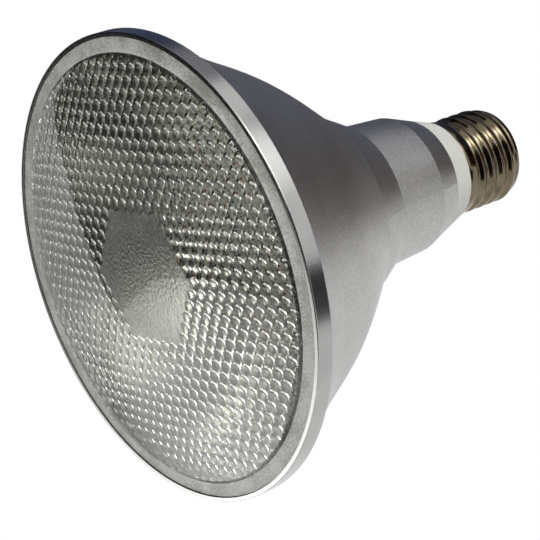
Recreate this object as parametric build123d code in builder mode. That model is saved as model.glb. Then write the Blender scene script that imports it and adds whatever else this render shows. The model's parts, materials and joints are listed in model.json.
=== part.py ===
from build123d import *
from math import cos, hypot, radians, sin, sqrt
import os

os.makedirs("parts", exist_ok=True)

# Reflector lamp with a screw cap, in millimetres. The axis is Z. The lamp stands on the crown of its
# lens at Z = 0, and its cap points up. Sections are drawn in the XZ plane, radius against height.

# Rim and lens
rim_radius = 60.3
rim_depth = 4.4
rim_wall = 1.1
rim_edge_radius = 0.45
lens_rise = 6.2
lens_crown = 5.2
lens_thickness = 2.6
lens_flange_thickness = 2.0
lens_flange_width = 3.0
lens_shoulder_width = 1.6
lens_shoulder_rounding = 0.5
lens_setback = 0.4
lens_fit = 0.2

# Lenslets: six-sided pyramids in close-packed rows inside the dome, with a plain patch in the middle
lenslet_pitch = 3.43
lenslet_height = 0.6
lenslet_margin = 0.4
patch_rings = 5

# Bell, shoulder, neck and chamfered end of the housing
rim_ledge = 0.4
bell_quarter_radius = 51.4
bell_half_radius = 44.9
bell_three_quarter_radius = 36.65
bell_end_radius = 26.8
bell_slope = 0.78
bell_length = 48.6
bell_wall = 1.8
shoulder_length = 11.4
shoulder_end_radius = 20.9
shoulder_rounding = 0.9
shoulder_step_length = 0.5
neck_front_radius = 19.7
neck_rear_radius = 18.7
neck_length = 15.4
neck_rounding = 1.0
neck_wall = 2.2
chamfer_length = 7.4
chamfer_end_radius = 16.1
chamfer_end_wall = 1.2

# Moulded driver sleeve: the tube in the neck, the white collar and the spigot in the cap
collar_length = 6.8
collar_end_radius = 13.9
sleeve_fit = 0.2
sleeve_wall = 1.2
spigot_wall = 1.4
guide_depth = 1.4
guide_wall = 1.2
guide_fit = 0.15
boss_radius = 2.5
boss_ring_radius = 11.4
boss_length = 8.0
boss_floor = 1.0

# Screw cap of the 27 mm Edison size
cap_crest_radius = 13.2
cap_root_radius = 12.25
cap_pitch = 3.629
cap_turns = 3.3
cap_sheet = 0.35
cap_skirt_length = 4.6
cap_skirt_step = 1.2
cap_thread_start = 1.2
cap_shell_length = 20.6
cap_mouth_radius = 10.6
cap_end_curl = 1.3
cap_length = 26.5
insulator_fit = 0.15
insulator_flange = 1.3
insulator_top_radius = 6.4
contact_radius = 4.8
contact_height = 1.6
contact_shank_radius = 1.5
contact_shank_length = 5.0

# Gasket, reflector and heat spreader
gasket_thickness = 0.6
gasket_width = 2.8
reflector_sheet = 0.5
reflector_gap = 0.6
reflector_foot_fit = 0.5
spreader_thickness = 3.0
spreader_set_in = 2.0
spreader_seat_width = 1.6
spreader_fit = 0.3

# LED board, its emitters and its screws
pad_thickness = 0.5
board_thickness = 1.6
board_radius = 24.0
wire_hole_radius = 3.2
led_size = 3.5
led_base = 0.9
led_dome_radius = 1.45
red_count = 9
red_ring_radius = 18.0
blue_count = 3
blue_ring_radius = 8.0
screw_count = 3
screw_ring_radius = 13.0
screw_radius = 1.5
screw_head_radius = 2.7
screw_head_height = 1.5
screw_head_rounding = 0.6
screw_recess_span = 2.6
screw_recess_width = 0.6
screw_recess_depth = 0.8
screw_length = 4.4
screw_fit = 0.05
sleeve_screw_radius = 1.2
sleeve_screw_length = 9.0
sleeve_screw_head_radius = 2.2
sleeve_screw_head_height = 1.2

# Driver board and its components
circuit_thickness = 1.6
circuit_offset = -3.2
circuit_length = 29.0
circuit_gap = 6.0
tongue_width = 14.0
tongue_length = 20.0
component_gap = 0.2
component_spacing = 1.0
capacitor_radius = 4.0
capacitor_length = 12.5
capacitor_spacing = 12.8
capacitor_set_in = 0.5
capacitor_edge = 0.4
groove_set_in = 1.7
groove_width = 0.8
groove_depth = 0.35
core_size = 13.0
core_depth = 6.0
core_leg = 3.0
core_window = 3.3
core_yoke = 1.9
winding_wall = 1.9
winding_height = 8.6
winding_fit = 0.1
choke_radius = 3.0
choke_height = 6.4
choke_flange = 1.0
choke_groove = 0.4
film_width = 6.0
film_length = 8.0
film_height = 6.0
film_rounding = 0.4
tongue_row_centre = 4.5
bridge_width = 6.4
bridge_length = 5.0
bridge_height = 2.5
bridge_centre = 4.0
chip_width = 5.0
chip_length = 4.0
chip_height = 1.5
moulding_draft = 6.0
varistor_radius = 3.5
varistor_thickness = 3.0
varistor_rounding = 0.8
varistor_centre = 12.5
wire_radius = 0.6
wire_bend = 1.2
neutral_edge = 2.0
neutral_overlap = 4.0
output_overlap = 3.5
output_loop = 2.2
output_landing = 5.4
lead_radius = 0.35
lead_bend = 0.9
lead_drop = 1.8
resistor_radius = 1.6
resistor_length = 8.5
resistor_rounding = 0.6
resistor_set_in = 11.5

# Heights and radii that follow from the sizes above
rim_z = lens_rise
band_end_z = rim_z + rim_depth
bell_end_z = band_end_z + bell_length
shoulder_end_z = bell_end_z + shoulder_length
neck_end_z = shoulder_end_z + neck_length
chamfer_end_z = neck_end_z + chamfer_length
cap_z = chamfer_end_z + collar_length
shell_end_z = cap_z + cap_shell_length
tip_z = cap_z + cap_length
bell_start_radius = rim_radius - rim_ledge
rim_bore = rim_radius - rim_wall
lens_radius = rim_bore - lens_fit
lens_front_z = rim_z + lens_setback
lens_back_z = lens_front_z + lens_flange_thickness
dome_radius = lens_radius - lens_flange_width - lens_shoulder_width
field_radius = dome_radius - lenslet_margin
gasket_end_z = lens_back_z + gasket_thickness
seat_z = gasket_end_z + reflector_sheet
spreader_seat_z = bell_end_z - spreader_set_in
spreader_front_z = spreader_seat_z - spreader_thickness
spreader_bore = bell_end_radius + bell_slope * spreader_set_in - bell_wall
pad_front_z = spreader_front_z - pad_thickness
board_front_z = pad_front_z - board_thickness
reflector_throat = (
    bell_end_radius + bell_slope * (spreader_set_in + spreader_thickness) - bell_wall - reflector_gap
)
reflector_foot_width = reflector_throat - reflector_sheet / 2 - board_radius - reflector_foot_fit
neck_end_bore = chamfer_end_radius - chamfer_end_wall
sleeve_radius = neck_end_bore - sleeve_fit
sleeve_bore = sleeve_radius - sleeve_wall
shell_bore = cap_root_radius - cap_sheet
spigot_radius = shell_bore - sleeve_fit
spigot_bore = spigot_radius - spigot_wall
insulator_z = shell_end_z - cap_sheet - insulator_flange - insulator_fit
spigot_end_z = insulator_z - 3 * wire_radius
contact_z = tip_z - contact_height
circuit_z = spreader_seat_z + circuit_gap
circuit_end_z = circuit_z + circuit_length
circuit_face = circuit_offset + circuit_thickness / 2
circuit_back = circuit_offset - circuit_thickness / 2
circuit_width = 2 * (sqrt(sleeve_bore**2 - circuit_back**2) - component_gap)


def bell_curve(inset):
    """The bell's five stations from the rim to the shoulder, moved in by the inset."""
    radii = (
        bell_start_radius,
        bell_quarter_radius,
        bell_half_radius,
        bell_three_quarter_radius,
        bell_end_radius,
    )
    return [(radius - inset, band_end_z + bell_length * i / 4) for i, radius in enumerate(radii)]


def sphere_rise(chord_radius, sphere_radius):
    """How far a sphere has left its tangent plane at a radius."""
    return sphere_radius - sqrt(sphere_radius**2 - chord_radius**2)


def lenslet_plunger(sphere_radius):
    """Solid that presses the inside of the lens: its face is a net of six-sided pits on a sphere."""

    def on_sphere(x, y, raised=0):
        return (x, y, lens_thickness + sphere_rise(hypot(x, y), sphere_radius) + raised)

    corner_radius = lenslet_pitch / sqrt(3)
    corner_angles = [radians(30 + 60 * k) for k in range(6)]
    reach = int(field_radius / lenslet_pitch * 1.2) + 1
    facets = []
    following = {}
    for row in range(-reach, reach + 1):
        for column in range(-reach, reach + 1):
            x = lenslet_pitch * (column + row / 2)
            y = lenslet_pitch * row * sqrt(3) / 2
            if hypot(x, y) > field_radius - lenslet_pitch / 4:
                continue
            ring = max(abs(column), abs(row), abs(column + row))
            peak = on_sphere(x, y, lenslet_height if ring > patch_rings else 0)
            corners = []
            for angle in corner_angles:
                corner_x = x + corner_radius * cos(angle)
                corner_y = y + corner_radius * sin(angle)
                shrink = min(1, field_radius / hypot(corner_x, corner_y))
                corners.append((round(corner_x * shrink, 5), round(corner_y * shrink, 5)))
            for start, end in zip(corners, corners[1:] + corners[:1]):
                facets.append(Face(Wire.make_polygon([on_sphere(*start), on_sphere(*end), peak])))
                if following.get(end) == start:
                    del following[end]
                else:
                    following[start] = end
    # The sides rise from the free edges of the net to a flat top behind the lens
    top_z = 2 * lens_back_z
    first = next(iter(following))
    outline = [first]
    while following[outline[-1]] != first:
        outline.append(following[outline[-1]])
    for start, end in zip(outline, outline[1:] + outline[:1]):
        side = [on_sphere(*start), on_sphere(*end), (*end, top_z), (*start, top_z)]
        facets.append(Face(Wire.make_polygon(side)))
    facets.append(Face(Wire.make_polygon([(x, y, top_z) for x, y in outline])))
    return Solid(Shell(facets))


def led_group(count, ring_radius, start_angle):
    """Surface-mounted emitters on a ring: a square base with a clear dome on it."""
    with BuildPart() as group:
        with BuildSketch(Plane.XY.offset(board_front_z)):
            with PolarLocations(ring_radius, count, start_angle):
                Rectangle(led_size, led_size)
        extrude(amount=-led_base)
        for i in range(count):
            angle = radians(start_angle + 360 * i / count)
            centre = (ring_radius * cos(angle), ring_radius * sin(angle), board_front_z - led_base)
            with Locations(centre):
                Sphere(led_dome_radius, arc_size1=-90, arc_size2=0)
    return group


def wire(points, radius, bend):
    """A round wire along straight runs joined by bends."""
    with BuildPart() as strand:
        with BuildLine():
            route = FilletPolyline(*points, radius=bend)
        with BuildSketch(Plane(origin=route @ 0, z_dir=route % 0)):
            Circle(radius)
        sweep(path=route)
    return strand


def electrolytic_can(x):
    """Capacitor that lies along the driver board, with a rolled groove near its plug."""
    y = circuit_face + component_gap + capacitor_radius
    with BuildPart() as can:
        with BuildSketch(Plane.XY.offset(circuit_z + capacitor_set_in)):
            with Locations((x, y)):
                Circle(capacitor_radius)
        extrude(amount=capacitor_length)
        fillet(can.edges().filter_by(GeomType.CIRCLE), radius=capacitor_edge)
        with BuildSketch(Plane.XY.offset(circuit_z + capacitor_set_in + groove_set_in)):
            with Locations((x, y)):
                Circle(capacitor_radius)
                Circle(capacitor_radius - groove_depth, mode=Mode.SUBTRACT)
        extrude(amount=groove_width, mode=Mode.SUBTRACT)
    return can


# Housing: rim, bell, shoulder and neck, cast in one piece with an even wall
slopes = [(-bell_slope, 1), (-bell_slope, 1)]
with BuildPart() as housing:
    with BuildSketch(Plane.XZ):
        with BuildLine():
            bell = Spline(bell_curve(0), tangents=slopes)
            Polyline(
                bell @ 1,
                (shoulder_end_radius, shoulder_end_z - shoulder_step_length),
                (neck_front_radius, shoulder_end_z),
                (neck_rear_radius, neck_end_z),
                (chamfer_end_radius, chamfer_end_z),
                (0, chamfer_end_z),
                (0, rim_z),
                (rim_radius, rim_z),
                (rim_radius, band_end_z),
                bell @ 0,
            )
        make_face()
    revolve(axis=Axis.Z)
    rings = housing.edges().filter_by(GeomType.CIRCLE)
    fillet(rings.group_by(Axis.Z)[0], radius=rim_edge_radius)
    rings = housing.edges().filter_by(GeomType.CIRCLE)
    soft_edges = rings.filter_by_position(Axis.Z, bell_end_z - 0.1, shoulder_end_z - shoulder_step_length + 0.1)
    fillet(soft_edges, radius=shoulder_rounding)
    rings = housing.edges().filter_by(GeomType.CIRCLE)
    fillet(rings.filter_by_position(Axis.Z, neck_end_z - 0.1, neck_end_z + 0.1), radius=neck_rounding)
    # The bore of the rim takes the lens, the gasket and the flange of the reflector
    with BuildSketch(Plane.XY.offset(rim_z)):
        Circle(rim_bore)
    extrude(amount=seat_z - rim_z, mode=Mode.SUBTRACT)
    # The hollow of the bell ends at the seat of the heat spreader
    with BuildSketch(Plane.XZ):
        with BuildLine():
            hollow = Spline(bell_curve(bell_wall), tangents=slopes)
            Polyline(
                hollow @ 1,
                (0, bell_end_z),
                (0, seat_z),
                (bell_start_radius - bell_wall, seat_z),
                hollow @ 0,
            )
        make_face()
        with Locations((0, spreader_seat_z)):
            Rectangle(3 * rim_radius, bell_length, align=(Align.CENTER, Align.MAX), mode=Mode.INTERSECT)
    revolve(axis=Axis.Z, mode=Mode.SUBTRACT)
    # The hollow of the shoulder and neck narrows to the sleeve's bore at the back
    with BuildSketch(Plane.XZ):
        with BuildLine():
            Polyline(
                (0, spreader_seat_z),
                (spreader_bore - spreader_seat_width, spreader_seat_z),
                (shoulder_end_radius - neck_wall, shoulder_end_z - neck_wall),
                (neck_front_radius - neck_wall, shoulder_end_z),
                (neck_rear_radius - neck_wall, neck_end_z - neck_wall),
                (neck_end_bore, neck_end_z),
                (neck_end_bore, chamfer_end_z),
                (0, chamfer_end_z),
                close=True,
            )
        make_face()
    revolve(axis=Axis.Z, mode=Mode.SUBTRACT)
housing.part.label = "housing"
export_step(housing.part, "parts/housing.step")

# Lens: pressed glass with a shallow dome, a shoulder, a flat flange and lenslets on the inside
dome_sphere = (dome_radius**2 + lens_crown**2) / (2 * lens_crown)
plunger = lenslet_plunger(dome_sphere)
with BuildPart() as front_lens:
    with BuildSketch(Plane.XZ):
        with BuildLine():
            RadiusArc((0, 0), (dome_radius, lens_crown), -dome_sphere)
            Polyline(
                (dome_radius, lens_crown),
                (dome_radius + lens_shoulder_width, lens_front_z),
                (lens_radius, lens_front_z),
                (lens_radius, lens_back_z),
                (0, lens_back_z),
                (0, 0),
            )
        make_face()
    revolve(axis=Axis.Z)
    rings = front_lens.edges().filter_by(GeomType.CIRCLE)
    shoulder_rings = rings.filter_by_position(Axis.Z, lens_crown - 0.1, lens_front_z + 0.1)
    fillet(shoulder_rings.sort_by(SortBy.RADIUS)[:2], radius=lens_shoulder_rounding)
    add(plunger, mode=Mode.SUBTRACT)
front_lens.part.label = "front_lens"
export_step(front_lens.part, "parts/front_lens.step")

# Gasket: flat silicone ring between the flange of the lens and that of the reflector
with BuildPart() as lens_gasket:
    with BuildSketch(Plane.XY.offset(lens_back_z)):
        Circle(lens_radius)
        Circle(lens_radius - gasket_width, mode=Mode.SUBTRACT)
    extrude(amount=gasket_thickness)
lens_gasket.part.label = "lens_gasket"
export_step(lens_gasket.part, "parts/lens_gasket.step")

# Reflector: spun sheet that follows the bell, with a flange under the gasket and a turned-in foot
with BuildPart() as reflector:
    with BuildSketch(Plane.XZ):
        with BuildLine():
            back = Spline(bell_curve(bell_wall + reflector_gap), tangents=slopes)
            face = Spline(bell_curve(bell_wall + reflector_gap + reflector_sheet), tangents=slopes)
            Polyline(
                back @ 0,
                ((back @ 0).X, seat_z),
                (lens_radius, seat_z),
                (lens_radius, gasket_end_z),
                ((face @ 0).X, gasket_end_z),
                face @ 0,
            )
            Line(back @ 1, face @ 1)
        make_face()
        with Locations((0, spreader_front_z)):
            Rectangle(3 * rim_radius, bell_length, align=(Align.CENTER, Align.MAX), mode=Mode.INTERSECT)
        with Locations((board_radius + reflector_foot_fit, spreader_front_z)):
            Rectangle(reflector_foot_width, reflector_sheet, align=(Align.MIN, Align.MAX))
    revolve(axis=Axis.Z)
reflector.part.label = "reflector"
export_step(reflector.part, "parts/reflector.step")

# Heat spreader: aluminium disc on a ledge at the bottom of the bell, drilled for wires and screws
with BuildPart() as heat_spreader:
    with BuildSketch(Plane.XY.offset(spreader_front_z)):
        Circle(spreader_bore - spreader_fit)
        Circle(wire_hole_radius, mode=Mode.SUBTRACT)
        with PolarLocations(screw_ring_radius, screw_count):
            Circle(screw_radius + screw_fit, mode=Mode.SUBTRACT)
        with PolarLocations(boss_ring_radius, 2, 90):
            Circle(sleeve_screw_radius + screw_fit, mode=Mode.SUBTRACT)
    extrude(amount=spreader_thickness)
    with BuildSketch(Plane.XY.offset(spreader_front_z)):
        with PolarLocations(boss_ring_radius, 2, 90):
            Circle(sleeve_screw_head_radius + screw_fit)
    extrude(amount=sleeve_screw_head_height, mode=Mode.SUBTRACT)
heat_spreader.part.label = "heat_spreader"
export_step(heat_spreader.part, "parts/heat_spreader.step")

# Thermal pad between the board and the heat spreader
with BuildPart() as thermal_pad:
    with BuildSketch(Plane.XY.offset(pad_front_z)):
        Circle(board_radius)
        Circle(wire_hole_radius, mode=Mode.SUBTRACT)
        with PolarLocations(screw_ring_radius, screw_count):
            Circle(screw_radius + screw_fit, mode=Mode.SUBTRACT)
    extrude(amount=pad_thickness)
thermal_pad.part.label = "thermal_pad"
export_step(thermal_pad.part, "parts/thermal_pad.step")

# LED board: round aluminium-core board at the bottom of the reflector
with BuildPart() as led_board:
    with BuildSketch(Plane.XY.offset(board_front_z)):
        Circle(board_radius)
        Circle(wire_hole_radius, mode=Mode.SUBTRACT)
        with PolarLocations(screw_ring_radius, screw_count):
            Circle(screw_radius + screw_fit, mode=Mode.SUBTRACT)
    extrude(amount=board_thickness)
led_board.part.label = "led_board"
export_step(led_board.part, "parts/led_board.step")

# Red emitters on the outer ring and blue ones on the inner ring
red_leds = led_group(red_count, red_ring_radius, 0)
red_leds.part.label = "red_leds"
export_step(red_leds.part, "parts/red_leds.step")

blue_leds = led_group(blue_count, blue_ring_radius, 30)
blue_leds.part.label = "blue_leds"
export_step(blue_leds.part, "parts/blue_leds.step")

# Pan-head screws that clamp the LED board
with BuildPart() as board_screws:
    with BuildSketch(Plane.XY.offset(board_front_z)):
        with PolarLocations(screw_ring_radius, screw_count):
            Circle(screw_radius)
    extrude(amount=screw_length)
    with BuildSketch(Plane.XY.offset(board_front_z)):
        with PolarLocations(screw_ring_radius, screw_count):
            Circle(screw_head_radius)
    extrude(amount=-screw_head_height)
    head_edges = board_screws.edges().filter_by(GeomType.CIRCLE).group_by(Axis.Z)[0]
    fillet(head_edges, radius=screw_head_rounding)
    with BuildSketch(Plane.XY.offset(board_front_z - screw_head_height)):
        with PolarLocations(screw_ring_radius, screw_count):
            Rectangle(screw_recess_span, screw_recess_width)
            Rectangle(screw_recess_width, screw_recess_span)
    extrude(amount=screw_recess_depth, mode=Mode.SUBTRACT)
board_screws.part.label = "board_screws"
export_step(board_screws.part, "parts/board_screws.step")

# Driver sleeve: tube, collar and spigot moulded in one piece, with rails for the board and two bosses
with BuildPart() as driver_sleeve:
    with BuildSketch(Plane.XZ):
        with BuildLine():
            Polyline(
                (sleeve_bore, spreader_seat_z),
                (sleeve_radius, spreader_seat_z),
                (sleeve_radius, chamfer_end_z),
                (chamfer_end_radius, chamfer_end_z),
                (collar_end_radius, cap_z),
                (spigot_radius, cap_z),
                (spigot_radius, spigot_end_z),
                (spigot_bore, spigot_end_z),
                (spigot_bore, cap_z),
                (sleeve_bore, chamfer_end_z),
                close=True,
            )
        make_face()
    revolve(axis=Axis.Z)
    with BuildSketch(Plane.XY.offset(circuit_z)):
        with Locations(
            (0, circuit_face + guide_fit + guide_wall / 2),
            (0, circuit_back - guide_fit - guide_wall / 2),
        ):
            Rectangle(2 * sleeve_radius, guide_wall)
        Circle(sleeve_bore + sleeve_wall / 2, mode=Mode.INTERSECT)
        Rectangle(circuit_width - 2 * guide_depth, 2 * sleeve_radius, mode=Mode.SUBTRACT)
    extrude(amount=circuit_length)
    with BuildSketch(Plane.XY.offset(spreader_seat_z)):
        with PolarLocations(boss_ring_radius, 2, 90):
            Circle(boss_radius)
        Circle(sleeve_bore + sleeve_wall / 2, mode=Mode.INTERSECT)
    extrude(amount=boss_length)
    with BuildSketch(Plane.XY.offset(spreader_seat_z)):
        with PolarLocations(boss_ring_radius, 2, 90):
            Circle(sleeve_screw_radius + screw_fit)
    extrude(amount=boss_length - boss_floor, mode=Mode.SUBTRACT)
driver_sleeve.part.label = "driver_sleeve"
export_step(driver_sleeve.part, "parts/driver_sleeve.step")

# Two screws, sunk in the heat spreader, that pull the sleeve against the housing
with BuildPart() as sleeve_screws:
    with BuildSketch(Plane.XY.offset(spreader_front_z)):
        with PolarLocations(boss_ring_radius, 2, 90):
            Circle(sleeve_screw_radius)
    extrude(amount=sleeve_screw_length)
    with BuildSketch(Plane.XY.offset(spreader_front_z)):
        with PolarLocations(boss_ring_radius, 2, 90):
            Circle(sleeve_screw_head_radius)
    extrude(amount=sleeve_screw_head_height)
sleeve_screws.part.label = "sleeve_screws"
export_step(sleeve_screws.part, "parts/sleeve_screws.step")

# Driver board: upright in the sleeve, with a tongue that reaches into the cap
with BuildPart() as driver_board:
    with BuildSketch(Plane.XZ.offset(-circuit_back)):
        with Locations((0, circuit_z)):
            Rectangle(circuit_width, circuit_length, align=(Align.CENTER, Align.MIN))
        with Locations((0, circuit_z)):
            Rectangle(tongue_width, circuit_length + tongue_length, align=(Align.CENTER, Align.MIN))
    extrude(amount=-circuit_thickness)
driver_board.part.label = "driver_board"
export_step(driver_board.part, "parts/driver_board.step")

# Transformer: ferrite core with a middle leg, and the winding round that leg
core_y = circuit_face + component_gap + core_depth / 2 + winding_wall
core_z = circuit_z + capacitor_set_in + capacitor_length + component_spacing + core_size / 2
window_height = core_size - 2 * core_yoke
with BuildPart() as transformer_core:
    with BuildSketch(Plane.XZ.offset(-(core_y - core_depth / 2))):
        with Locations((0, core_z)):
            Rectangle(core_size, core_size)
        with Locations(
            ((core_leg + core_window) / 2, core_z),
            (-(core_leg + core_window) / 2, core_z),
        ):
            Rectangle(core_window, window_height, mode=Mode.SUBTRACT)
    extrude(amount=-core_depth)
transformer_core.part.label = "transformer_core"
export_step(transformer_core.part, "parts/transformer_core.step")

with BuildPart() as transformer_winding:
    with BuildSketch(Plane.XY.offset(core_z - winding_height / 2)):
        with Locations((0, core_y)):
            RectangleRounded(core_leg + 2 * winding_wall, core_depth + 2 * winding_wall, winding_wall)
            Rectangle(core_leg + winding_fit, core_depth + winding_fit, mode=Mode.SUBTRACT)
    extrude(amount=winding_height)
transformer_winding.part.label = "transformer_winding"
export_step(transformer_winding.part, "parts/transformer_winding.step")

# Electrolytic capacitors beside each other at the board's front end
input_capacitor = electrolytic_can(capacitor_spacing / 2)
input_capacitor.part.label = "input_capacitor"
export_step(input_capacitor.part, "parts/input_capacitor.step")

output_capacitor = electrolytic_can(-capacitor_spacing / 2)
output_capacitor.part.label = "output_capacitor"
export_step(output_capacitor.part, "parts/output_capacitor.step")

# Filter choke: drum core with its winding, upright on the tongue
with BuildPart() as filter_choke:
    with BuildSketch(Plane.XZ.offset(-(circuit_face + component_gap))):
        with Locations((tongue_width / 4, circuit_end_z + tongue_row_centre)):
            Circle(choke_radius)
    extrude(amount=-choke_height)
    with BuildSketch(Plane.XZ.offset(-(circuit_face + component_gap + choke_flange))):
        with Locations((tongue_width / 4, circuit_end_z + tongue_row_centre)):
            Circle(choke_radius)
            Circle(choke_radius - choke_groove, mode=Mode.SUBTRACT)
    extrude(amount=-(choke_height - 2 * choke_flange), mode=Mode.SUBTRACT)
filter_choke.part.label = "filter_choke"
export_step(filter_choke.part, "parts/filter_choke.step")

# Film capacitor: moulded box beside the choke
with BuildPart() as film_capacitor:
    with BuildSketch(Plane.XZ.offset(-(circuit_face + component_gap))):
        with Locations((-tongue_width / 4, circuit_end_z + tongue_row_centre)):
            RectangleRounded(film_width, film_length, film_rounding)
    extrude(amount=-film_height)
    fillet(film_capacitor.faces().sort_by(Axis.Y)[-1].edges(), radius=film_rounding / 2)
film_capacitor.part.label = "film_capacitor"
export_step(film_capacitor.part, "parts/film_capacitor.step")

# Bridge rectifier, driver chip and varistor on the back of the board
with BuildPart() as bridge_rectifier:
    with BuildSketch(Plane.XZ.offset(-circuit_back)):
        with Locations((0, circuit_end_z + bridge_centre)):
            Rectangle(bridge_width, bridge_length)
    extrude(amount=bridge_height, taper=moulding_draft)
bridge_rectifier.part.label = "bridge_rectifier"
export_step(bridge_rectifier.part, "parts/bridge_rectifier.step")

with BuildPart() as driver_chip:
    with BuildSketch(Plane.XZ.offset(-circuit_back)):
        with Locations((0, core_z)):
            Rectangle(chip_width, chip_length)
    extrude(amount=chip_height, taper=moulding_draft)
driver_chip.part.label = "driver_chip"
export_step(driver_chip.part, "parts/driver_chip.step")

with BuildPart() as varistor:
    with BuildSketch(Plane.XZ.offset(-circuit_back)):
        with Locations((0, circuit_end_z + varistor_centre)):
            Circle(varistor_radius)
    extrude(amount=varistor_thickness)
    fillet(varistor.edges().filter_by(GeomType.CIRCLE), radius=varistor_rounding)
varistor.part.label = "varistor"
export_step(varistor.part, "parts/varistor.step")

# Fusible resistor on the axis: its leads join the board and the centre contact
resistor_z = circuit_end_z + resistor_set_in
with BuildPart() as fuse_resistor:
    with BuildSketch(Plane.XY.offset(resistor_z)):
        Circle(resistor_radius)
    extrude(amount=resistor_length)
    fillet(fuse_resistor.edges().filter_by(GeomType.CIRCLE), radius=resistor_rounding)
    with BuildSketch(Plane.XY.offset(resistor_z + resistor_length)):
        Circle(lead_radius)
    extrude(amount=contact_z - contact_shank_length - resistor_z - resistor_length)
    with BuildLine():
        lead_route = FilletPolyline(
            (0, 0, resistor_z),
            (0, 0, resistor_z - lead_drop),
            (0, circuit_face, resistor_z - lead_drop),
            radius=lead_bend,
        )
    with BuildSketch(Plane(origin=lead_route @ 0, z_dir=lead_route % 0)):
        Circle(lead_radius)
    sweep(path=lead_route)
fuse_resistor.part.label = "fuse_resistor"
export_step(fuse_resistor.part, "parts/fuse_resistor.step")

# Wires: one from the tongue to the screw shell, and a pair from the driver to the LED board
neutral_y = circuit_face + wire_radius
neutral_z = spigot_end_z + 1.5 * wire_radius
neutral_end = -sqrt((shell_bore - 0.1) ** 2 - (abs(neutral_y) + wire_radius) ** 2)
neutral_wire = wire(
    [
        (neutral_edge - tongue_width / 2, neutral_y, circuit_end_z + tongue_length - neutral_overlap),
        (neutral_edge - tongue_width / 2, neutral_y, neutral_z),
        (neutral_end, neutral_y, neutral_z),
    ],
    wire_radius,
    wire_bend,
)
neutral_wire.part.label = "neutral_wire"
export_step(neutral_wire.part, "parts/neutral_wire.step")

with BuildPart() as output_wires:
    for side in (1, -1):
        start = (side * 2 * wire_radius, neutral_y)
        with BuildLine():
            route = FilletPolyline(
                (*start, circuit_z + output_overlap),
                (*start, board_front_z - output_loop),
                (side * output_landing, neutral_y, board_front_z - output_loop),
                (side * output_landing, neutral_y, board_front_z),
                radius=wire_bend,
            )
        with BuildSketch(Plane(origin=route @ 0, z_dir=route % 0)):
            Circle(wire_radius)
        sweep(path=route)
output_wires.part.label = "output_wires"
export_step(output_wires.part, "parts/output_wires.step")

# Screw shell: drawn sheet with a plain skirt and a rolled thread
ridge_radius = (cap_crest_radius - shell_bore) * 0.9
ridge_z = cap_z + cap_skirt_length + cap_thread_start
with BuildPart() as screw_shell:
    with BuildSketch(Plane.XZ):
        with BuildLine():
            Polyline(
                (shell_bore, cap_z),
                (cap_crest_radius, cap_z),
                (cap_crest_radius, cap_z + cap_skirt_length - cap_skirt_step),
                (cap_root_radius, cap_z + cap_skirt_length),
                (cap_root_radius, shell_end_z - cap_end_curl),
            )
            RadiusArc(
                (cap_root_radius, shell_end_z - cap_end_curl),
                (cap_root_radius - cap_end_curl, shell_end_z),
                -cap_end_curl,
            )
            Line((cap_root_radius - cap_end_curl, shell_end_z), (cap_mouth_radius, shell_end_z))
            Polyline(
                (cap_mouth_radius, shell_end_z),
                (cap_mouth_radius, shell_end_z - cap_sheet),
                (shell_bore, shell_end_z - cap_end_curl),
                (shell_bore, cap_z),
            )
        make_face()
    revolve(axis=Axis.Z)
    with BuildLine():
        thread_path = Helix(
            cap_pitch,
            cap_pitch * cap_turns,
            cap_crest_radius - ridge_radius,
            center=(0, 0, ridge_z),
        )
    with BuildSketch(Plane(origin=thread_path @ 0, z_dir=thread_path % 0)):
        Circle(ridge_radius)
    sweep(path=thread_path, is_frenet=True)
    with Locations(thread_path @ 0, thread_path @ 1):
        Sphere(ridge_radius)
    with BuildSketch(Plane.XY.offset(cap_z)):
        Circle(shell_bore)
    extrude(amount=cap_shell_length - cap_end_curl, mode=Mode.SUBTRACT)
screw_shell.part.label = "screw_shell"
export_step(screw_shell.part, "parts/screw_shell.step")

# Cap insulator: flange inside the shell and a cone up to the centre contact
with BuildPart() as cap_insulator:
    with BuildSketch(Plane.XZ):
        with BuildLine():
            Polyline(
                (contact_shank_radius + screw_fit, insulator_z),
                (shell_bore - 1.2, insulator_z),
                (cap_mouth_radius - insulator_fit, insulator_z + insulator_flange - 0.2),
                (cap_mouth_radius - insulator_fit, shell_end_z),
                (insulator_top_radius, contact_z),
                (contact_shank_radius + screw_fit, contact_z),
                close=True,
            )
        make_face()
    revolve(axis=Axis.Z)
cap_insulator.part.label = "cap_insulator"
export_step(cap_insulator.part, "parts/cap_insulator.step")

# Centre contact: domed rivet through the insulator
with BuildPart() as centre_contact:
    with BuildSketch(Plane.XY.offset(contact_z)):
        Circle(contact_radius)
    extrude(amount=contact_height)
    fillet(centre_contact.edges().filter_by(GeomType.CIRCLE).group_by(Axis.Z)[-1], radius=1.2)
    with BuildSketch(Plane.XY.offset(contact_z)):
        Circle(contact_shank_radius)
    extrude(amount=-contact_shank_length)
centre_contact.part.label = "centre_contact"
export_step(centre_contact.part, "parts/centre_contact.step")
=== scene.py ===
import json
from math import atan2, cos, hypot, pi, radians, sin, sqrt

import bmesh
import bpy
from mathutils import Matrix, Vector


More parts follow.
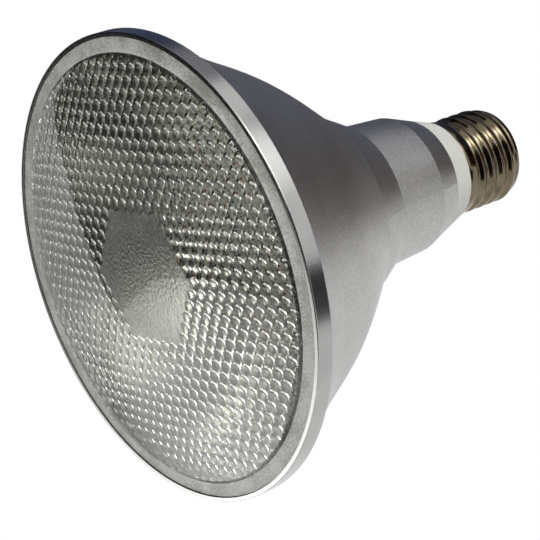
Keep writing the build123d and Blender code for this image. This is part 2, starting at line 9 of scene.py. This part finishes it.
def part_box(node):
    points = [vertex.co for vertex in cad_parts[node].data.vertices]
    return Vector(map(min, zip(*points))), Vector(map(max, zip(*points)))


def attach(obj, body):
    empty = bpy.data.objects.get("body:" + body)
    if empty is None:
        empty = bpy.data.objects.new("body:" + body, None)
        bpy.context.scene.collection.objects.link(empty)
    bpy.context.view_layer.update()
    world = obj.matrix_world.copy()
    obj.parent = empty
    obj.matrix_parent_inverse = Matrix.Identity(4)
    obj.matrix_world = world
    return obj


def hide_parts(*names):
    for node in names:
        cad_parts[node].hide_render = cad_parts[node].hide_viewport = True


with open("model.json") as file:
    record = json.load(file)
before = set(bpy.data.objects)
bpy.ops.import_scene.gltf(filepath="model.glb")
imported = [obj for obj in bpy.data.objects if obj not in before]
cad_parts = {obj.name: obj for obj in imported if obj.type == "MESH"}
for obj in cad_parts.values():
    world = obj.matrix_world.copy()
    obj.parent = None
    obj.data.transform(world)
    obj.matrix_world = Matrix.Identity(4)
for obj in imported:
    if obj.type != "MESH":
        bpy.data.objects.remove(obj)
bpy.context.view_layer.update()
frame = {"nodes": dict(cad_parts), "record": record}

MM = 0.001

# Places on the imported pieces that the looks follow, in metres
rim_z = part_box("housing")[0][2]
lens_radius, _, lens_back_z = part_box("front_lens")[1]
shell_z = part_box("screw_shell")[0][2]


# The photograph's viewpoint, fitted to its outline: how the lamp is turned, and how far its rim is
TILT, ROLL, TWIST = radians(55.19), radians(20.34), radians(5.5)
FRAME_PIXELS, FOCAL_PIXELS, SENSOR = 540, 2200, 36
RIM_DISTANCE = 0.5427
RIM_MIDDLE = Vector((-0.0508, -0.0006, 1))


def photo_axes():
    """The lamp's X, Y and Z as the camera sees them, along its axes right, down and ahead."""
    z = Vector((sin(TILT) * cos(ROLL), -sin(TILT) * sin(ROLL), cos(TILT)))
    level = Vector((z.z, 0, -z.x)).normalized()
    x = level * cos(TWIST) + z.cross(level) * sin(TWIST)
    return x, z.cross(x), z


AXES = photo_axes()


def seen(right, up, ahead):
    """A direction given as the photograph shows it, turned into the lamp's own directions."""
    return Vector([right * a.x - up * a.y + ahead * a.z for a in AXES])


def add_camera():
    data = bpy.data.cameras.new("photo_camera")
    data.lens = SENSOR * FOCAL_PIXELS / FRAME_PIXELS
    data.sensor_width = SENSOR
    data.clip_start, data.clip_end = 0.01, 20
    camera = bpy.data.objects.new("photo_camera", data)
    bpy.context.collection.objects.link(camera)
    place = Vector((0, 0, rim_z)) - seen(*(RIM_MIDDLE * RIM_DISTANCE))
    turn = Matrix((seen(1, 0, 0), seen(0, 1, 0), seen(0, 0, -1))).transposed()
    camera.matrix_world = Matrix.Translation(place) @ turn.to_4x4()
    bpy.context.scene.camera = camera


add_camera()


# Tools for the materials
def linear(code):
    """sRGB hex colour as linear numbers."""
    parts = [int(code[i:i + 2], 16) / 255 for i in (0, 2, 4)]
    return [c / 12.92 if c < 0.04045 else ((c + 0.055) / 1.055) ** 2.4 for c in parts] + [1]


def add(tree, kind, links=None, values=None, stops=(), **settings):
    """Adds a node, sets it, and feeds its sockets; stops are a ramp's (place, hex colour) pairs."""
    node = tree.nodes.new("ShaderNode" + kind)
    for key, value in settings.items():
        setattr(node, key, value)
    for key, value in (values or {}).items():
        node.inputs[key].default_value = value
    for key, (source, output) in (links or {}).items():
        tree.links.new(source.outputs[output], node.inputs[key])
    if stops:
        for element, (place, code) in zip(node.color_ramp.elements, stops):
            element.position = place
            element.color = linear(code)
    return node


def start(name, colour, **values):
    """A material with its shader and object coordinates."""
    material = bpy.data.materials.new(name)
    material.use_nodes = True
    tree = material.node_tree
    shader = tree.nodes["Principled BSDF"]
    shader.inputs["Base Color"].default_value = linear(colour)
    for key, value in values.items():
        shader.inputs[key.replace("_", " ")].default_value = value
    return material, tree, shader, add(tree, "TexCoord")


def feed(tree, shader, **sources):
    """Feeds the shader's sockets from the outputs of other nodes."""
    for key, (source, output) in sources.items():
        tree.links.new(source.outputs[output], shader.inputs[key.replace("_", " ")])


def show(tree, last, output):
    """Makes a node the last one of a tree, in place of the shader that was there."""
    tree.links.new(last.outputs[0], tree.nodes[output].inputs["Surface"])


# Finishes of the lamp
def surface(name, colours, grain_mm, roughness, bump_mm, spread=0.12, **values):
    """A finish whose colour, roughness and relief vary with one grain and a slower mottle."""
    material, tree, shader, place = start(name, colours[0], **values)
    grain = add(tree, "TexNoise", {"Vector": (place, "Object")},
                {"Scale": 1 / (grain_mm * MM), "Detail": 4})
    mottle = add(tree, "TexNoise", {"Vector": (place, "Object")},
                 {"Scale": 0.06 / (grain_mm * MM), "Detail": 3})
    total = add(tree, "Math", {0: (grain, "Fac"), 1: (mottle, "Fac")}, operation="ADD")
    mean = add(tree, "Math", {0: (total, "Value")}, {1: 0.5}, operation="MULTIPLY")
    tint = add(tree, "ValToRGB", {"Fac": (mean, "Value")},
               stops=[(0.5 - spread, colours[0]), (0.5 + spread, colours[1])])
    gloss = add(tree, "MapRange", {"Value": (mottle, "Fac")},
                {"From Min": 0.3, "From Max": 0.7, "To Min": roughness[0], "To Max": roughness[1]})
    relief = add(tree, "Bump", {"Height": (grain, "Fac")},
                 {"Strength": 1.0, "Distance": bump_mm * MM})
    feed(tree, shader, Base_Color=(tint, "Color"), Roughness=(gloss, "Result"),
         Normal=(relief, "Normal"))
    return material


def cast_aluminium():
    """Bead-blasted cast aluminium: matt grey with painted glints on its fine dents, and a smoother
    turned rim band.
    """
    material, tree, shader, place = start("Aluminium, cast and bead-blasted", "c9c9c7",
                                          Metallic=1.0)
    height = add(tree, "SeparateXYZ", {"Vector": (place, "Object")})
    # 1 on the turned rim band, which is 4.5 mm wide, and 0 on the blasted bell behind it
    band = add(tree, "MapRange", {"Value": (height, "Z")},
               {"From Min": rim_z + 4.6 * MM, "From Max": rim_z + 4.3 * MM})
    # Beads of about 0.15 mm leave dents; drawn at 0.55 mm, as fine as the picture can show
    dents = add(tree, "TexNoise", {"Vector": (place, "Object")},
                {"Scale": 1 / (0.55 * MM), "Detail": 3})
    dust = add(tree, "TexNoise", {"Vector": (place, "Object")},
               {"Scale": 1 / (0.9 * MM), "Detail": 5})
    cloud = add(tree, "TexNoise", {"Vector": (place, "Object")},
                {"Scale": 1 / (14 * MM), "Detail": 4})
    tone = add(tree, "ValToRGB", {"Fac": (cloud, "Fac")}, stops=[(0.3, "a6a5a4"), (0.7, "b4b3b1")])
    # Painted glints: the dents' edges are painted lighter in the base colour, and the turned band
    # has few of them
    painted_glint_ramp = add(tree, "ValToRGB", {"Fac": (dents, "Fac")},
                  stops=[(0.47, "000000"), (0.68, "8a8a8a")])
    share = add(tree, "MapRange", {"Value": (band, "Result")}, {"To Min": 1.0, "To Max": 0.15})
    painted_glint = add(tree, "Math", {0: (painted_glint_ramp, "Color"), 1: (share, "Result")}, operation="MULTIPLY")
    bright = add(tree, "MixRGB", {"Fac": (painted_glint, "Value"), "Color1": (tone, "Color")},
                 {"Color2": linear("f2f1ee")})
    matt = add(tree, "MapRange", {"Value": (dust, "Fac")},
               {"From Min": 0.3, "From Max": 0.7, "To Min": 0.36, "To Max": 0.46})
    satin = add(tree, "Mix", {"Factor": (band, "Result"), 2: (matt, "Result")}, {3: 0.19})
    depth = add(tree, "MapRange", {"Value": (band, "Result")}, {"To Min": 1.0, "To Max": 0.12})
    relief = add(tree, "Bump", {"Height": (dents, "Fac"), "Strength": (depth, "Result")},
                 {"Distance": 0.05 * MM})
    feed(tree, shader, Base_Color=(bright, "Color"), Roughness=(satin, 0),
         Normal=(relief, "Normal"))
    return material


def pressed_glass(name, colours, roughness, wave_mm, detail, depth_mm):
    """Pressed borosilicate glass: clear with a faint olive tint, and as wavy as its mould was."""
    material, tree, shader, place = start(name, "f0f1e8", Roughness=roughness, IOR=1.49,
                                          Transmission_Weight=1.0)
    wave = add(tree, "TexNoise", {"Vector": (place, "Object")},
               {"Scale": 1 / (wave_mm * MM), "Detail": detail})
    relief = add(tree, "Bump", {"Height": (wave, "Fac")},
                 {"Strength": 1.0, "Distance": depth_mm * MM})
    haze = add(tree, "TexNoise", {"Vector": (place, "Object")},
               {"Scale": 1 / (9 * MM), "Detail": 3})
    tint = add(tree, "ValToRGB", {"Fac": (haze, "Fac")},
               stops=[(0.3, colours[0]), (0.7, colours[1])])
    feed(tree, shader, Base_Color=(tint, "Color"), Normal=(relief, "Normal"))
    return material


def worked_metal(name, colour, colours, cloud_mm, detail, roughness):
    """A metal made bright by spinning or plating: a soft mirror with slow changes in its gloss."""
    material, tree, shader, place = start(name, colour, Metallic=1.0)
    cloud = add(tree, "TexNoise", {"Vector": (place, "Object")},
                {"Scale": 1 / (cloud_mm * MM), "Detail": detail})
    tint = add(tree, "ValToRGB", {"Fac": (cloud, "Fac")},
               stops=[(0.3, colours[0]), (0.7, colours[1])])
    gloss = add(tree, "MapRange", {"Value": (cloud, "Fac")},
                {"From Min": 0.3, "From Max": 0.7, "To Min": roughness[0], "To Max": roughness[1]})
    feed(tree, shader, Base_Color=(tint, "Color"), Roughness=(gloss, "Result"))
    return material


MATERIALS = {
    "cast_aluminium": cast_aluminium(),
    # Lenslets: as clear as water, with a slow wave from the mould
    "lens_glass": pressed_glass("Glass, pressed and clear", ("f0f1e9", "f6f6f0"), 0.0, 5.0, 1,
                                0.02),
    # Reflector: a soft mirror, a little cloudy
    "reflector_metal": worked_metal("Aluminium, spun and brightened", "e2e3df",
                                    ("dcddd8", "e8e9e5"), 6, 4, (0.10, 0.16)),
    # Cap: warm and bright, with slow clouds in its tone and gloss
    "nickel_plate": worked_metal("Brass, nickel-plated", "6e6451",
                                 ("625846", "7b705e"), 3, 5, (0.10, 0.2)),
    # Heat spreader: cool grey metal with a dull turned face
    "spreader_metal": surface("Aluminium, turned", ("b9babb", "cdcdcb"), 0.5, (0.3, 0.42), 0.02,
                              Metallic=1.0),
    # Gasket: pale grey and dull, with a soft skin
    "silicone": surface("Silicone rubber, moulded", ("a9aaa2", "b9bab2"), 0.6, (0.55, 0.7), 0.02),
    # Pad under the board: chalky blue-grey, with no shine
    "thermal_silicone": surface("Silicone pad, filled", ("9aa3ad", "adb5bd"), 0.5, (0.7, 0.85),
                                0.03),
    # LED board: smooth white lacquer
    "board_mask": surface("Solder mask, white", ("e2e3df", "f1f1ee"), 0.5, (0.35, 0.5), 0.01),
    # Emitters: glossy cast domes, deep red and dark blue while they are off
    "red_emitter": surface("Epoxy, red and clear", ("8e1016", "c0202a"), 0.4, (0.12, 0.2), 0.01),
    "blue_emitter": surface("Epoxy, blue and clear", ("262f4c", "36406a"), 0.4, (0.12, 0.2), 0.01),
    # Screws: bright grey with a faint yellow from the plating
    "zinc_steel": surface("Steel, zinc-plated", ("b3b4b0", "cccbc4"), 0.3, (0.25, 0.38), 0.01,
                          Metallic=1.0),
    # Collar: satin off-white plastic
    "white_pbt": surface("PBT, moulded", ("d2d2cb", "dbdbd4"), 0.4, (0.42, 0.55), 0.015),
    # Driver board: green with the weave of the glass just showing
    "circuit_laminate": surface("Glass-epoxy laminate", ("2c5a34", "3b6d42"), 0.8, (0.4, 0.5),
                                0.02),
    # Parts on the driver board: each has its usual colour and the skin of its case
    "ferrite": surface("Ferrite, sintered", ("2b2c2e", "3a3b3d"), 0.3, (0.55, 0.7), 0.02),
    "winding_tape": surface("Polyester tape, wound", ("c9a227", "dcb73c"), 1.2, (0.3, 0.42), 0.03),
    "capacitor_film": surface("PVC sleeve, shrunk", ("20242b", "2b3038"), 0.8, (0.25, 0.35), 0.02),
    "epoxy_red": surface("Epoxy, dipped", ("7d2f22", "94402f"), 0.7, (0.3, 0.45), 0.03),
    "epoxy_black": surface("Epoxy, moulded black", ("232323", "303030"), 0.4, (0.5, 0.62), 0.01),
    "epoxy_blue": surface("Epoxy, dipped blue", ("22558c", "2f69a5"), 0.7, (0.3, 0.45), 0.03),
    "resistor_coat": surface("Lacquer, baked", ("b8ab8a", "cabd9c"), 0.6, (0.35, 0.5), 0.02),
    # Wires: dull white sleeve
    "wire_insulation": surface("Silicone sleeve, extruded", ("c7c8c4", "dadbd6"), 0.6,
                               (0.45, 0.55), 0.01),
    # Insulator round the tip: glossy near-black glass with a warm cast
    "black_insulator": surface("Glass, black and pressed", ("121110", "1e1c1a"), 0.9,
                               (0.12, 0.22), 0.03),
}
# Middle of the lens: fine stipple that blurs what is behind it
STIPPLED = pressed_glass("Glass, pressed and stippled", ("f3f4f0", "fbfbf9"), 0.38, 0.9, 3, 0.42)
# Flange: grainy and milky, with light speckles
FROSTED = surface("Glass, pressed and frosted by the mould", ("adaea5", "e6e7e0"), 0.5,
                  (0.35, 0.5), 0.12, 0.07, Transmission_Weight=0.25, IOR=1.49)
# Bend between the lenslets and the flange: a dark glossy line, painted shade that stands for the
# shadowed gap seen through the glass
SHOULDER_PAINTED_SHADE = surface("Glass, pressed, painted shade where it bends", ("2f302c", "4a4b46"), 0.8,
                   (0.06, 0.12), 0.03, Transmission_Weight=0.5, IOR=1.49)


# Tools for the meshes
def finished(bm, name, *materials):
    """The object of a finished bmesh, with its place in its mesh."""
    mesh = bpy.data.meshes.new(name)
    bm.to_mesh(mesh)
    bm.free()
    for material in materials:
        mesh.materials.append(material)
    piece = bpy.data.objects.new(name, mesh)
    bpy.context.collection.objects.link(piece)
    return piece


def put_in_order(bm):
    """Sorts a mesh along a slant on which no two points are level.

    A spin leaves its mesh in another order each time, and the bridge that follows starts from it.
    """
    slant = Vector((1, 31.7, 977.3))
    bm.verts.sort(key=lambda v: v.co.dot(slant))
    bm.edges.sort(key=lambda e: (e.verts[0].co + e.verts[1].co).dot(slant))
    bm.faces.sort(key=lambda f: f.calc_center_median().dot(slant))


def spin_section(bm, section, steps, closed=False):
    """Turns a section of (radius, height) points once round the lamp's axis."""
    points = [bm.verts.new((radius, 0, height)) for radius, height in section]
    after = points[1:] + points[:1] if closed else points[1:]
    line = [bm.edges.new(pair) for pair in zip(points, after)]
    bmesh.ops.spin(bm, geom=points + line, cent=(0, 0, 0), axis=(0, 0, 1), angle=2 * pi,
                   steps=steps, use_merge=True, use_duplicate=False)
    put_in_order(bm)


def smooth(bm, sharpest):
    """Faces outwards and smooth, with a crease where two of them meet at more than an angle."""
    bmesh.ops.recalc_face_normals(bm, faces=bm.faces)
    for f in bm.faces:
        f.smooth = True
    for e in bm.edges:
        if e.is_manifold and e.calc_face_angle() > radians(sharpest):
            e.smooth = False


# The lens: lenslets inside, a plain stippled patch in the middle, a shoulder and a flat flange
PITCH = 3.43 * MM
FIELD = 54.5 * MM
PATCH_RINGS = 5
LENSLET_SPHERE = 3.0 * MM
GLASS = 2.6 * MM
CROWN = 5.2 * MM
DOME = 54.4 * MM
DOME_SPHERE = (DOME**2 + CROWN**2) / (2 * CROWN)
DOME_EDGE = 54.2 * MM
FLANGE_INSIDE = 55.4 * MM
# A cell's middle edges stand this far off the flat patch at most, so such points are one
WELD = 0.3 * MM
CLEAR, STIPPLE, FROST, BEND = range(4)


def dome(radius):
    return DOME_SPHERE - sqrt(DOME_SPHERE**2 - radius**2)


def lattice():
    """Middles of the six-sided cells that touch the field, with the ring that each is in."""
    reach = int(FIELD / PITCH * 1.2) + 2
    for row in range(-reach, reach + 1):
        for column in range(-reach, reach + 1):
            x, y = PITCH * (column + row / 2), PITCH * row * sqrt(3) / 2
            if hypot(x, y) < FIELD + 0.5 * PITCH:
                yield x, y, max(abs(column), abs(row), abs(column + row))


def press_lenslets(bm):
    """The net of round lenslets on the inside of the glass, flat in the patch."""
    corner = PITCH / sqrt(3)
    valley = sqrt(LENSLET_SPHERE**2 - corner**2)
    bmesh.ops.create_circle(bm, cap_ends=True, cap_tris=True, segments=6, radius=corner)
    bmesh.ops.subdivide_edges(bm, edges=bm.edges[:], cuts=2, use_grid_fill=True)
    cell = bm.verts[:] + bm.edges[:] + bm.faces[:]
    for x, y, ring in lattice():
        copy = bmesh.ops.duplicate(bm, geom=cell)["geom"]
        for v in [e for e in copy if isinstance(e, bmesh.types.BMVert)]:
            away = v.co.length
            v.co.x += x
            v.co.y += y
            if ring > PATCH_RINGS:
                v.co.z = sqrt(LENSLET_SPHERE**2 - min(away, corner) ** 2) - valley
        for f in [e for e in copy if isinstance(e, bmesh.types.BMFace)]:
            f.material_index = CLEAR if ring > PATCH_RINGS else STIPPLE
    first = [e for e in cell if isinstance(e, bmesh.types.BMVert)]
    bmesh.ops.delete(bm, geom=first, context="VERTS")
    bmesh.ops.remove_doubles(bm, verts=bm.verts, dist=WELD)
    # The net keeps only whole small faces inside the field, and none that hang on by one corner
    extra = [f for f in bm.faces if max(hypot(v.co.x, v.co.y) for v in f.verts) > FIELD]
    while extra:
        bmesh.ops.delete(bm, geom=extra, context="FACES")
        pinched = [v for v in bm.verts if sum(e.is_boundary for e in v.link_edges) > 2]
        extra = [f for f in bm.faces if any(v in f.verts for v in pinched)]
    for v in bm.verts:
        v.co.z += GLASS + dome(hypot(v.co.x, v.co.y))


def build_lens():
    bm = bmesh.new()
    press_lenslets(bm)
    # The rest is spun from one section: inside shoulder, flange, outside shoulder, dome
    section = [
        (54.75 * MM, dome(FIELD) + GLASS + 0.02 * MM),
        (55.1 * MM, lens_back_z - 0.5 * MM),
        (FLANGE_INSIDE, lens_back_z),
        (lens_radius, lens_back_z),
        (lens_radius, rim_z + 0.4 * MM),
        (56.2 * MM, rim_z + 0.4 * MM),
        (55.9 * MM, rim_z + 0.3 * MM),
        (55.3 * MM, rim_z - 0.23 * MM),
        (54.6 * MM, CROWN + 0.15 * MM),
        (DOME_EDGE, dome(DOME_EDGE)),
    ] + [(r * MM, dome(r * MM)) for r in range(52, 1, -2)] + [(0, 0)]
    spin_section(bm, section, 256)
    pole = [v for v in bm.verts if hypot(v.co.x, v.co.y) < 0.1 * MM]
    bmesh.ops.remove_doubles(bm, verts=pole, dist=0.02 * MM)
    # The net's edge and the section's are the two open ones left
    bmesh.ops.bridge_loops(bm, edges=[e for e in bm.edges if e.is_boundary])
    smooth(bm, 24)
    # Faces out on the flange are frosted; those on the bend take the glass with painted shade
    for f in bm.faces:
        middle = f.calc_center_median()
        away = hypot(middle.x, middle.y)
        if away > FLANGE_INSIDE:
            f.material_index = FROST
        elif away > FIELD and middle.z < rim_z + 0.5 * MM:
            f.material_index = BEND
    piece = finished(bm, "pressed_lens", MATERIALS["lens_glass"], STIPPLED, FROSTED, SHOULDER_PAINTED_SHADE)
    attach(piece, "root")
    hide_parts("front_lens")


build_lens()


# The screw shell: drawn sheet with a plain skirt and a rolled thread of round crests and roots
CREST, ROOT, THREAD = 13.18 * MM, 12.25 * MM, 3.629 * MM
SHEET = 0.35 * MM
THREAD_LOW, THREAD_HIGH, FIRST_CREST = 4.2 * MM, 19.4 * MM, 5.8 * MM
RUN_IN, RUN_OUT = 1.6 * MM, 1.3 * MM
MOUTH = 10.6 * MM


def rolled(height, turn):
    """How far the thread stands out of its root, from 0 to 1; it runs out softly at both ends."""
    fade_in = min(1, max(0, (height - THREAD_LOW) / RUN_IN))
    fade_out = min(1, max(0, (THREAD_HIGH - height) / RUN_OUT))
    wave = 0.5 + 0.5 * cos(2 * pi * (height - FIRST_CREST) / THREAD - turn)
    return wave * min(fade_in, fade_out)


def build_screw_shell():
    bm = bmesh.new()
    skirt = [(CREST - 0.25 * MM, 0), (CREST, 0.25 * MM), (CREST, 1.5 * MM), (CREST, 3.2 * MM)]
    neck = [(ROOT + (CREST - ROOT) * (0.5 + 0.5 * cos(pi * k / 5)), (3.2 + 0.24 * k) * MM)
            for k in range(1, 6)]
    root = [(ROOT, (4.4 + 0.2 * k) * MM) for k in range(1, 75)]
    nose = [(ROOT - 1.2 * MM * (1 - cos(a)), 19.3 * MM + 1.3 * MM * sin(a))
            for a in (0.2, 0.4, 0.7, 1.0, 1.3, pi / 2)]
    inside = [(MOUTH, 20.6 * MM), (MOUTH, 20.25 * MM), (ROOT - SHEET, 19.2 * MM), (ROOT - SHEET, 0)]
    section = [(radius, shell_z + height) for radius, height in skirt + neck + root + nose + inside]
    spin_section(bm, section, 144, closed=True)
    for v in bm.verts:
        away, height = hypot(v.co.x, v.co.y), v.co.z - shell_z
        if away > ROOT - 0.1 * MM and 4.3 * MM < height < 19.3 * MM:
            out = (CREST - ROOT) * rolled(height, atan2(v.co.y, v.co.x))
            stretch = (away + out) / away
            v.co.x, v.co.y = v.co.x * stretch, v.co.y * stretch
    smooth(bm, 50)
    piece = finished(bm, "rolled_screw_shell", MATERIALS["nickel_plate"])
    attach(piece, "root")
    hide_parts("screw_shell")


build_screw_shell()

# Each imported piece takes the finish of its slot
SLOTS = {part["node"]: part["material_slot"] for part in frame["record"]["subparts"]}
for name, piece in frame["nodes"].items():
    if not piece.material_slots:
        piece.data.materials.append(MATERIALS[SLOTS[name]])
    for held in piece.material_slots:
        held.material = MATERIALS[SLOTS[name]]


# The studio: a floor, dark screens, lit cloths and lamps
CENTRE = Vector((0, 0, 0.06))
SCREEN_DISTANCE, SOFTBOX_DISTANCE = 0.9, 0.8
CLOTH_EDGE = 0.6


def stage_only(piece, *rays):
    """Hides a piece of the studio from some kinds of rays."""
    for ray in rays:
        setattr(piece, "visible_" + ray, False)


def white_paper():
    """White paper: fibrous from above, and see-through from below, where the camera is."""
    material, tree, shader, place = start("Paper, white", "f4f4f4", Roughness=0.9)
    side = add(tree, "NewGeometry")
    clear = add(tree, "BsdfTransparent")
    fibre = add(tree, "TexNoise", {"Vector": (place, "Object")},
                {"Scale": 1 / (1.5 * MM), "Detail": 3})
    tint = add(tree, "ValToRGB", {"Fac": (fibre, "Fac")}, stops=[(0.3, "f2f2f2"), (0.7, "f7f7f7")])
    feed(tree, shader, Base_Color=(tint, "Color"))
    show(tree, add(tree, "MixShader", {"Fac": (side, "Backfacing"), 1: (shader, "BSDF"),
                                       2: (clear, "BSDF")}), "Material Output")
    return material


def screen_cloth(name, colours):
    """Studio cloth of an even tone, shown only in the metal and the glass."""
    material, tree, _, place = start(name, colours[0], Roughness=0.9)
    weave = add(tree, "TexNoise", {"Vector": (place, "Object")}, {"Scale": 6.0, "Detail": 2})
    tint = add(tree, "ValToRGB", {"Fac": (weave, "Fac")},
               stops=[(0.35, colours[0]), (0.65, colours[1])])
    show(tree, add(tree, "Emission", {"Color": (tint, "Color")}, {"Strength": 1.0}),
         "Material Output")
    # Met by mirrored rays alone: rays sent to it would show the coarse facets of the neck
    material.cycles.emission_sampling = "NONE"
    return material


def softbox_cloth(name, middle, radius, glow):
    """The lit cloth of a softbox, strongest in the middle and fading to its edge."""
    material, tree, _, place = start(name, "fafafa", Roughness=0.9)
    away = add(tree, "VectorMath", {0: (place, "Object")}, {1: middle}, operation="DISTANCE")
    fade = add(tree, "MapRange", {"Value": (away, "Value")},
               {"From Min": 0.2 * radius, "From Max": radius, "To Min": glow,
                "To Max": CLOTH_EDGE})
    show(tree, add(tree, "Emission", {"Strength": (fade, "Result")}, {"Color": linear("fdfdfc")}),
         "Material Output")
    material.cycles.emission_sampling = "NONE"
    return material


def lay_floor():
    bm = bmesh.new()
    bmesh.ops.create_grid(bm, x_segments=1, y_segments=1, size=2)
    floor = finished(bm, "floor", white_paper())
    stage_only(floor, "shadow", "diffuse", "glossy", "transmission")


def screen(name, left, right, low, high, colours):
    """A curved screen round the lamp, between angles that are as the photograph sees them."""
    bm = bmesh.new()
    side, span = radians(left), radians(right - left)
    rise = [radians(low + (high - low) * k / 8) for k in range(9)]
    points = [bm.verts.new((sin(side) * cos(e), cos(side) * cos(e), sin(e))) for e in rise]
    line = [bm.edges.new(pair) for pair in zip(points, points[1:])]
    bmesh.ops.spin(bm, geom=points + line, cent=(0, 0, 0), axis=(0, 0, -1), angle=span, steps=24)
    turn = Matrix((seen(1, 0, 0), seen(0, 0, 1), seen(0, 1, 0))).transposed() * SCREEN_DISTANCE
    place = Matrix.Translation(CENTRE) @ turn.to_4x4()
    bmesh.ops.transform(bm, verts=bm.verts, matrix=place)
    piece = finished(bm, name, screen_cloth("Cloth for " + name, colours))
    stage_only(piece, "camera", "diffuse", "shadow")


def toward(across, rise):
    """Where a softbox stands, at angles right and up as the photograph sees them, and its turn."""
    a, e = radians(across), radians(rise)
    away = seen(sin(a) * cos(e), sin(e), cos(a) * cos(e))
    turn = away.to_track_quat("Z", "Y").to_matrix().to_4x4()
    return Matrix.Translation(CENTRE + away * SOFTBOX_DISTANCE) @ turn


def softbox(name, across, rise, size, glow):
    """The lit face of a softbox, as the metal and the glass mirror it."""
    bm = bmesh.new()
    place = toward(across, rise)
    bmesh.ops.create_circle(bm, cap_ends=True, segments=48, radius=size / 2)
    bmesh.ops.transform(bm, verts=bm.verts, matrix=place)
    cloth = softbox_cloth("Cloth for " + name, place.translation, size / 2, glow)
    stage_only(finished(bm, name, cloth), "camera", "diffuse", "shadow")


def lamp(name, across, rise, size, power):
    """The light of a softbox on plastic and frosted glass."""
    data = bpy.data.lights.new(name, "AREA")
    data.shape = "DISK"
    data.size = size
    data.energy = power
    piece = bpy.data.objects.new(name, data)
    bpy.context.collection.objects.link(piece)
    piece.matrix_world = toward(across, rise)
    piece.visible_glossy = False
    piece.visible_transmission = False


def light_world():
    """White where the camera, the metal or the glass sees it, and half as strong as light."""
    world = bpy.data.worlds.new("studio")
    bpy.context.scene.world = world
    world.use_nodes = True
    tree = world.node_tree
    rays = add(tree, "LightPath")
    shown = add(tree, "Math", {0: (rays, "Is Camera Ray"), 1: (rays, "Is Glossy Ray")},
                operation="MAXIMUM")
    shown = add(tree, "Math", {0: (shown, "Value"), 1: (rays, "Is Transmission Ray")},
                operation="MAXIMUM")
    white = add(tree, "Background", None, {"Color": (1, 1, 1, 1), "Strength": 1.0})
    soft = add(tree, "Background", None, {"Color": (1, 1, 1, 1), "Strength": 0.5})
    show(tree, add(tree, "MixShader", {"Fac": (shown, "Value"), 1: (soft, "Background"),
                                       2: (white, "Background")}), "World Output")


lay_floor()

# Brown and blue cloths behind the lamp, black ones at its sides and front, pale cloth over it
BROWN, BLUE = ("2a1a16", "3d2d29"), ("3c445a", "505973")
screen("screen_back", -60, 107, 8, 23, BROWN)
screen("screen_back_right", 34, 107, 23, 38, BROWN)
screen("screen_back_left", -60, 34, 23, 38, BLUE)
screen("screen_back_high", -60, 107, 38, 62, BLUE)
screen("screen_left", -140, -60, -28, 62, ("1c1c1c", "2b2b2a"))
screen("screen_front", 145, 215, -50, 14, ("1a1c1e", "26282b"))
screen("screen_top", -180, 62, 62, 89, ("8c8d96", "a0a0a8"))
screen("screen_low_right", 95, 128, -20, 1, ("18181a", "222224"))

# Angles right and up, width in metres, and glow or power in watts
softbox("side_softbox", 144, 42, 0.84, 4.2)
softbox("key_softbox", 178, 36, 0.36, 13.0)
softbox("low_softbox", -68, -46, 0.9, 4.2)
softbox("veil_softbox", -122, -52, 0.8, 2.2)
lamp("side_lamp", 143, 42, 0.78, 2.2)
lamp("key_lamp", 178, 36, 0.3, 1.6)
lamp("low_lamp", -68, -46, 0.9, 1.5)

light_world()
bpy.context.scene.view_settings.view_transform = "Standard"
